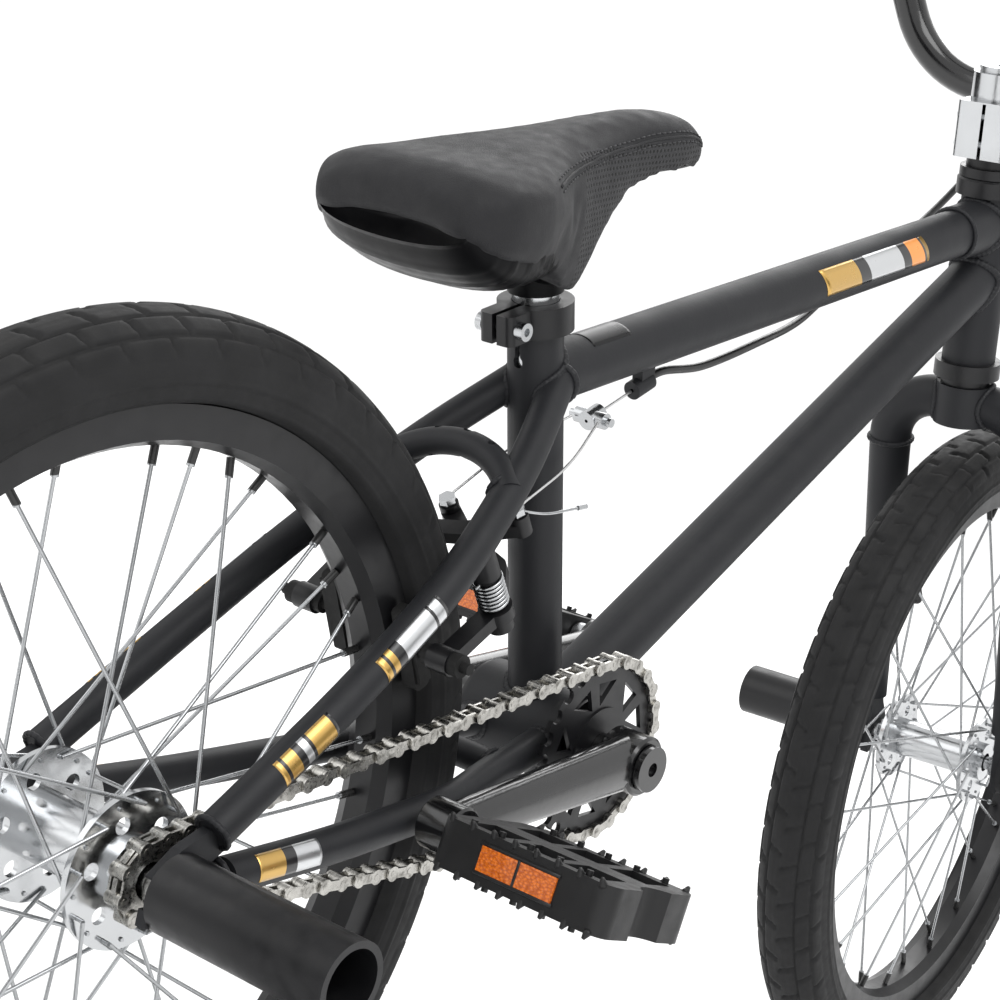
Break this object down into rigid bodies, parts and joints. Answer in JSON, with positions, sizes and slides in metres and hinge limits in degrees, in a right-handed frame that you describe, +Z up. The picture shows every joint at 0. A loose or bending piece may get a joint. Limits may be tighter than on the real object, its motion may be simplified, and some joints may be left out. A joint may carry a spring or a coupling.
{
  "type": "bmx bicycle",
  "caption": "Freestyle BMX bicycle: steel frame, high crossbar handlebar, spoked wheels, axle pegs, single-speed chain drive and rear rim brake.",
  "frame": {"origin": "on the ground, midway between the two wheel axles, in the bicycle's centre plane", "axes": "+X forward, +Y to the rider's left, +Z up; the bars are stored turned 4.6 degrees to the left"},
  "size_m": [1.3752, 0.722, 0.9523],
  "materials": {
    "frame_black": "satin charcoal paint",
    "part_black": "satin black anodised and painted",
    "gloss_black": "gloss black paint",
    "polished_alloy": "polished",
    "bright_steel": "bright plated",
    "chain_steel": "satin, lightly oiled",
    "spoke_steel": "satin",
    "rim_black": "satin black anodised",
    "tyre_rubber": "matte black",
    "tube_rubber": "matte black, brass valve",
    "grip_rubber": "matte black",
    "pedal_resin": "moulded black",
    "reflector_amber": "amber, prismatic",
    "saddle_cover": "black, stitched",
    "saddle_base": "black nylon",
    "pad_rubber": "black brake compound",
    "housing_plastic": "black cable housing",
    "wire_steel": "bright stranded wire"
  },
  "bodies": {
    "frame": {"head_tube": "frame_black", "top_tube": "frame_black", "down_tube": "frame_black", "seat_tube": "frame_black", "bb_shell": "frame_black", "seat_stays": "frame_black", "chain_stays": "frame_black", "dropouts": "frame_black", "brake_studs": "part_black", "cable_stop": "frame_black", "headset_cups": "part_black", "bb_bearings": "part_black", "seat_clamp": "part_black", "seat_clamp_bolt": "bright_steel", "brake_housing": "housing_plastic", "brake_wires": "wire_steel", "rear_axle": "bright_steel", "rear_pegs": "part_black", "chain": "chain_steel"},
    "seat": {"seatpost": "polished_alloy", "saddle_shell": "saddle_base", "saddle_pad": "saddle_cover"},
    "steering": {"fork_steerer": "part_black", "fork_crown": "frame_black", "fork_legs": "frame_black", "headset_top": "part_black", "stem": "polished_alloy", "stem_faceplate": "polished_alloy", "stem_bolts": "bright_steel", "handlebar": "gloss_black", "crossbar": "gloss_black", "grips": "grip_rubber", "lever_bracket": "part_black", "front_axle": "bright_steel", "front_pegs": "part_black"},
    "front_wheel": {"front_tyre": "tyre_rubber", "front_rim": "rim_black", "front_tube": "tube_rubber", "front_spokes": "spoke_steel", "front_hub": "polished_alloy"},
    "rear_wheel": {"rear_tyre": "tyre_rubber", "rear_rim": "rim_black", "rear_tube": "tube_rubber", "rear_spokes": "spoke_steel", "rear_hub": "polished_alloy"},
    "driver": {"driver_cog": "chain_steel"},
    "cranks": {"crank_spindle": "bright_steel", "crank_arms": "gloss_black", "chainring": "part_black", "pedal_spindles": "bright_steel"},
    "pedal_right": {"pedal_right": "pedal_resin", "pedal_right_reflectors": "reflector_amber"},
    "pedal_left": {"pedal_left": "pedal_resin", "pedal_left_reflectors": "reflector_amber"},
    "brake_arm_right": {"brake_arm_right": "part_black", "brake_shoe_right": "pad_rubber"},
    "brake_arm_left": {"brake_arm_left": "part_black", "brake_shoe_left": "pad_rubber"},
    "brake_lever": {"brake_lever": "part_black"},
    "brake_yoke": {"brake_yoke": "bright_steel"}
  },
  "joints": [
    {"name": "seat_slide", "type": "slide", "parent": "frame", "child": "seat", "axis": [-0.3567, 0, 0.9342], "range_m": [-0.004, 0.04]},
    {"name": "steering_turn", "type": "hinge", "parent": "frame", "child": "steering", "pos_m": [0.4044, 0, 0.24058], "axis": [-0.2699, 0, 0.9629], "range_deg": [-94.6, 85.4], "deforming": ["brake_housing"]},
    {"name": "front_wheel_spin", "type": "hinge", "parent": "steering", "child": "front_wheel", "pos_m": [0.4379, 0.0028, 0.24997], "axis": [-0.0772, 0.9968, -0.0216], "continuous": true},
    {"name": "rear_wheel_spin", "type": "hinge", "parent": "frame", "child": "rear_wheel", "pos_m": [-0.438, 0, 0.25], "axis": [0, 1, 0], "continuous": true},
    {"name": "crank_spin", "type": "hinge", "parent": "frame", "child": "cranks", "pos_m": [-0.1054, 0, 0.2936], "axis": [0, 1, 0], "continuous": true, "deforming": ["chain"]},
    {"name": "driver_spin", "type": "hinge", "parent": "frame", "child": "driver", "pos_m": [-0.438, 0, 0.25], "axis": [0, 1, 0], "continuous": true},
    {"name": "pedal_right_spin", "type": "hinge", "parent": "cranks", "child": "pedal_right", "pos_m": [-0.27097, 0, 0.2718], "axis": [0, 1, 0], "continuous": true},
    {"name": "pedal_left_spin", "type": "hinge", "parent": "cranks", "child": "pedal_left", "pos_m": [0.06017, 0, 0.3154], "axis": [0, 1, 0], "continuous": true},
    {"name": "brake_lever_pull", "type": "hinge", "parent": "steering", "child": "brake_lever", "pos_m": [0.29907, -0.21461, 0.94026], "axis": [0.2699, 0, -0.9629], "range_deg": [0, 16], "stiffness_Nm_per_rad": 0.25, "springref_deg": -17.19, "deforming": ["brake_wires"]},
    {"name": "brake_arm_left_swing", "type": "hinge", "parent": "frame", "child": "brake_arm_left", "pos_m": [-0.23492, 0.047, 0.37725], "axis": [-0.6388, 0, 0.7694], "range_deg": [0, 3], "stiffness_Nm_per_rad": 0.4, "springref_deg": -17.19},
    {"name": "brake_arm_right_swing", "type": "hinge", "parent": "frame", "child": "brake_arm_right", "pos_m": [-0.23492, -0.047, 0.37725], "axis": [0.6388, 0, -0.7694], "range_deg": [0, 3], "stiffness_Nm_per_rad": 0.4, "springref_deg": -17.19},
    {"name": "brake_yoke_slide", "type": "slide", "parent": "frame", "child": "brake_yoke", "axis": [0.8808, 0, 0.4734], "range_m": [0, 0.0045]}
  ],
  "couplings": [
    {"joint": "driver_spin", "follows": "crank_spin", "ratio": 2.7778},
    {"joint": "brake_arm_left_swing", "follows": "brake_lever_pull", "ratio": 0.1875},
    {"joint": "brake_arm_right_swing", "follows": "brake_lever_pull", "ratio": 0.1875},
    {"joint": "brake_yoke_slide", "follows": "brake_lever_pull", "m_per_rad": 0.0161}
  ]
}
